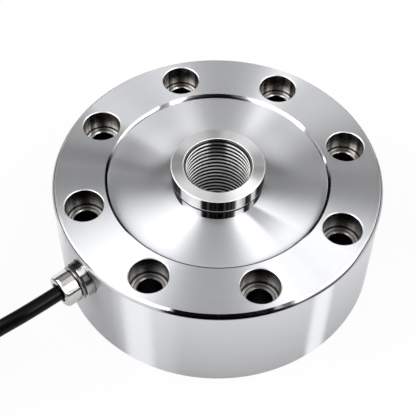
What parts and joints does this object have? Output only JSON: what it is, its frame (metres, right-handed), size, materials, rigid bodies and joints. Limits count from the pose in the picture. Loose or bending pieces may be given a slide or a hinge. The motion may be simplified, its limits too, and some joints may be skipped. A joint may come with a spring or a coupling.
{
  "type": "pancake load cell",
  "caption": "Low round load cell: dished steel ring with counterbored bolt holes, threaded centre hub on hidden gauged spokes, side gland and coiled cable.",
  "frame": {"origin": "centre of the mounting face, under the ring, on the loading axis", "axes": "+Z along the loading axis, out of the hub's top; the cable leaves along -X"},
  "size_m": [0.2501, 0.1465, 0.049],
  "materials": {
    "body_steel": "satin, turned",
    "cover_steel": "satin",
    "screw_steel": "satin",
    "gasket_rubber": "matte",
    "board": "satin",
    "resistor": "gloss",
    "gauge_film": "clear film over foil",
    "tinned_pad": "tinned",
    "ribbon": "satin",
    "gland_metal": "nickel plated",
    "gland_rubber": "matte",
    "cable_jacket": "gloss",
    "core_red": "satin",
    "core_black": "satin",
    "core_green": "satin",
    "core_white": "satin",
    "tinned_wire": "braided, tinned",
    "tie": "woven"
  },
  "bodies": {
    "root": {"board_screws": "screw_steel", "bottom_cover": "cover_steel", "bridge_board": "board", "cable": "cable_jacket", "cable_coil": "cable_jacket", "cable_end": "cable_jacket", "cable_entry": "cable_jacket", "coil_tie_1": "tie", "coil_tie_2": "tie", "core_black": "core_black", "core_green": "core_green", "core_red": "core_red", "core_white": "core_white", "cover_gasket": "gasket_rubber", "cover_screws": "screw_steel", "flexure_body": "body_steel", "gland_adapter": "gland_metal", "gland_bush": "gland_rubber", "gland_nut": "gland_metal", "gland_seal": "gland_rubber", "hub_seal": "gasket_rubber", "lock_ring": "gland_metal", "port_seal": "gland_rubber", "ribbon_lead_1": "ribbon", "ribbon_lead_2": "ribbon", "ribbon_lead_3": "ribbon", "ribbon_lead_4": "ribbon", "ribbon_lead_5": "ribbon", "ribbon_lead_6": "ribbon", "ribbon_lead_7": "ribbon", "ribbon_lead_8": "ribbon", "solder_terminal_1": "tinned_pad", "solder_terminal_2": "tinned_pad", "solder_terminal_3": "tinned_pad", "solder_terminal_4": "tinned_pad", "solder_terminal_5": "tinned_pad", "solder_terminal_6": "tinned_pad", "solder_terminal_7": "tinned_pad", "solder_terminal_8": "tinned_pad", "span_drift_resistor": "resistor", "span_resistor": "resistor", "strain_gauge_1": "gauge_film", "strain_gauge_2": "gauge_film", "strain_gauge_3": "gauge_film", "strain_gauge_4": "gauge_film", "strain_gauge_5": "gauge_film", "strain_gauge_6": "gauge_film", "strain_gauge_7": "gauge_film", "strain_gauge_8": "gauge_film", "tail_black": "core_black", "tail_drain": "tinned_wire", "tail_green": "core_green", "tail_red": "core_red", "tail_white": "core_white", "zero_drift_resistor": "resistor", "zero_resistor": "resistor"}
  },
  "joints": []
}
